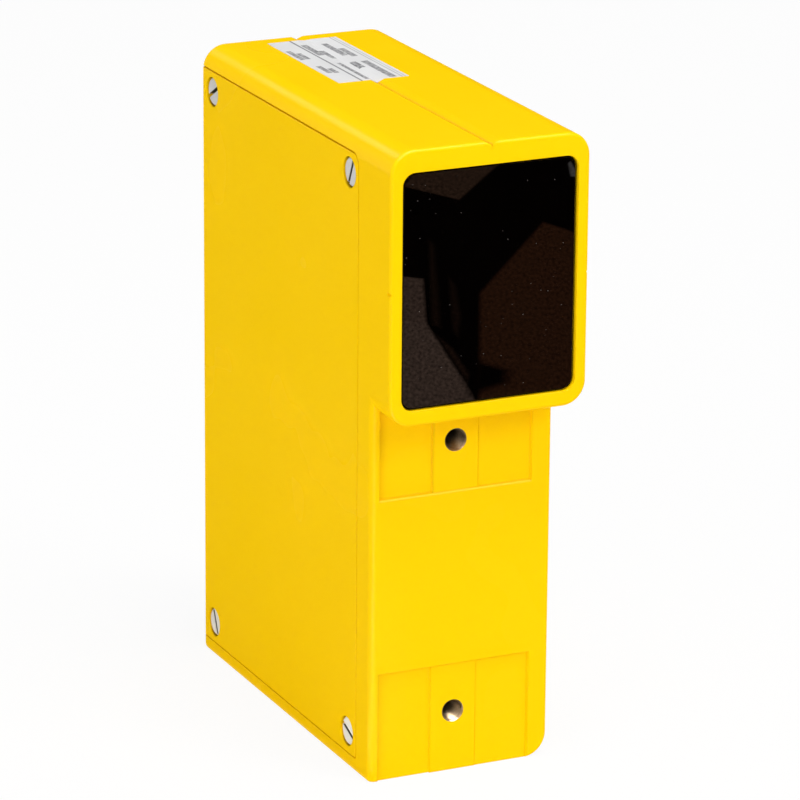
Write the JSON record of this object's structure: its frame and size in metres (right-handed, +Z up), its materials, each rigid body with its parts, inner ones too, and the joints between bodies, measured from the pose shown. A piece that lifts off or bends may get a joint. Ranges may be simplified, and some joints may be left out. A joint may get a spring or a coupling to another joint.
{
  "type": "safety light barrier",
  "caption": "Upright yellow die-cast light barrier housing with a hooded head, dark filter window, flush screwed side cover, tapped front mounting holes and a rear cable gland.",
  "frame": {"origin": "centre of the lower part's base, on the face it stands on", "axes": "+Z up; -Y is the way the window and the mounting holes face; the side cover is on -X and the cable gland points to +Y"},
  "size_m": [0.0515, 0.1353, 0.16],
  "materials": {
    "yellow_paint": "satin yellow paint on cast aluminium",
    "yellow_cover_paint": "satin yellow paint on cast aluminium",
    "nickel_steel": "nickel plated",
    "black_rubber": "matte",
    "filter_pane": "polished, infrared filter",
    "clear_lens": "polished",
    "black_plastic": "matte",
    "dark_metal": "black anodised",
    "bright_metal": "zinc plated",
    "green_board": "solder mask",
    "green_plastic": "moulded",
    "blue_sleeve": "shrink sleeve",
    "ferrite": "ferrite with a varnished winding",
    "chip_epoxy": "moulded epoxy",
    "white_plastic": "moulded",
    "lead_jacket": "matte",
    "brass_metal": "plain",
    "gland_nickel": "nickel plated brass, satin"
  },
  "bodies": {
    "root": {"housing": "yellow_paint", "side_cover": "yellow_cover_paint", "cover_screws": "nickel_steel", "cover_gasket": "black_rubber", "window_pane": "filter_pane", "window_seal": "black_rubber", "lens": "clear_lens", "lens_tube": "black_plastic", "lens_ring": "black_plastic", "aperture_plate": "dark_metal", "emitter_led": "bright_metal", "emitter_board": "green_board", "emitter_board_screws": "bright_metal", "optics_screws": "bright_metal", "main_board": "green_board", "board_screws": "bright_metal", "terminal_block": "green_plastic", "terminal_screws": "bright_metal", "capacitors": "blue_sleeve", "choke": "ferrite", "logic_chips": "chip_epoxy", "regulator": "chip_epoxy", "emitter_plugs": "white_plastic", "emitter_lead": "lead_jacket", "earth_screw": "brass_metal", "earth_washer": "brass_metal", "gland_body": "gland_nickel", "gland_o_ring": "black_rubber", "gland_seal": "black_rubber", "gland_nut": "gland_nickel", "gland_locknut": "gland_nickel"}
  },
  "joints": []
}
